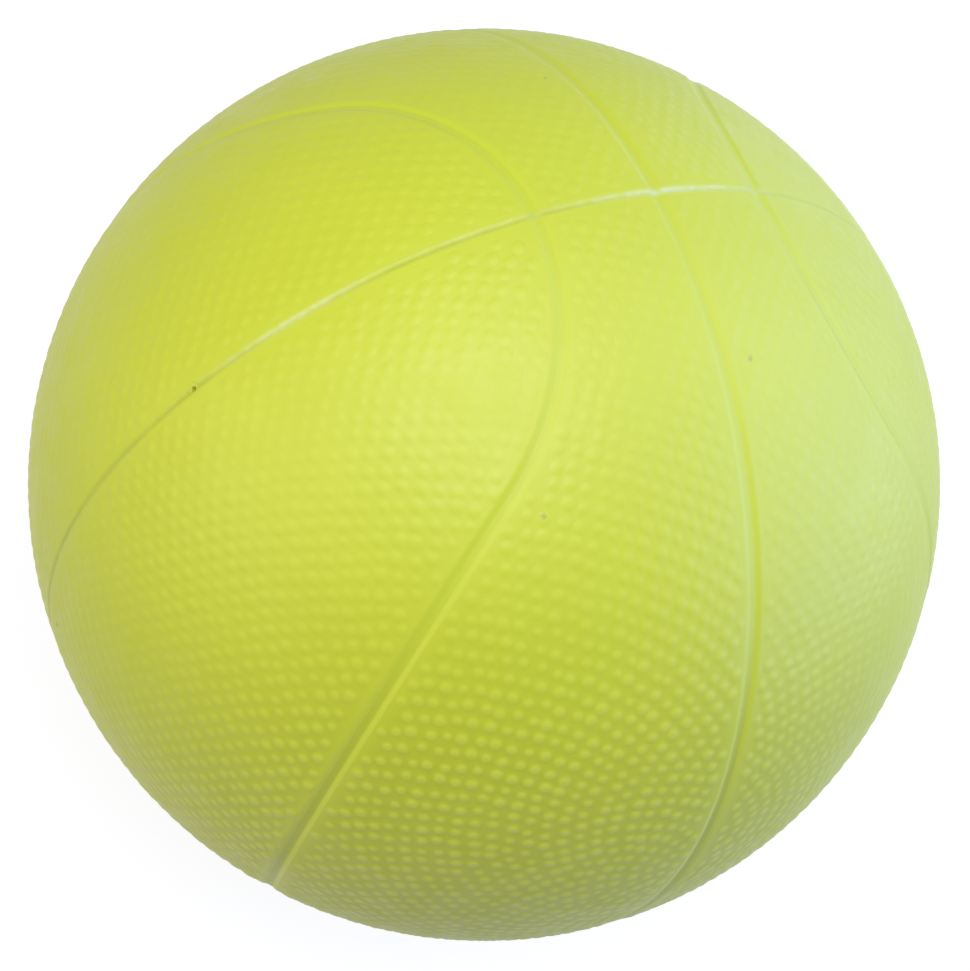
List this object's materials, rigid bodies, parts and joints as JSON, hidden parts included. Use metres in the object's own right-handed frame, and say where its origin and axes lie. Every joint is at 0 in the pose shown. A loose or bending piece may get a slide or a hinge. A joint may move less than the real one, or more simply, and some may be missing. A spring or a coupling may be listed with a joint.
{
  "type": "dodgeball",
  "caption": "Inflated rubber dodgeball: pebbled cover panels with moulded channels between them, over a wound carcass and bladder, with a pull-out needle valve plug in the ring channel.",
  "frame": {"origin": "the ball's centre", "axes": "+Z to the crossing of the ring and cross channels that faces up in the picture; the ring channel lies in the plane Y = 0 and the cross channel in X = 0; the loops go round +X and -X; -Y is the front"},
  "size_m": [0.2158, 0.2158, 0.2158],
  "materials": {
    "cover_rubber": "satin",
    "channel_rubber": "satin",
    "carcass_rubber": "matte",
    "winding_nylon": "matte",
    "bladder_rubber": "satin"
  },
  "bodies": {
    "ball": {"bladder": "bladder_rubber", "thread_winding": "winding_nylon", "carcass_left": "carcass_rubber", "carcass_right": "carcass_rubber", "valve_housing": "bladder_rubber", "ring_channel": "channel_rubber", "cross_channel_front": "channel_rubber", "cross_channel_back": "channel_rubber", "loop_channel_left_front": "channel_rubber", "loop_channel_left_back": "channel_rubber", "loop_channel_right_front": "channel_rubber", "loop_channel_right_back": "channel_rubber", "oval_panel_left_front": "cover_rubber", "oval_panel_left_back": "cover_rubber", "oval_panel_right_front": "cover_rubber", "oval_panel_right_back": "cover_rubber", "waist_panel_left_front": "cover_rubber", "waist_panel_left_back": "cover_rubber", "waist_panel_right_front": "cover_rubber", "waist_panel_right_back": "cover_rubber"},
    "valve_plug": {"valve_insert": "channel_rubber"}
  },
  "joints": [
    {"name": "valve_plug_slide", "type": "slide", "parent": "ball", "child": "valve_plug", "axis": [-0.8339, 0, 0.5519], "range_m": [0, 0.02]}
  ]
}
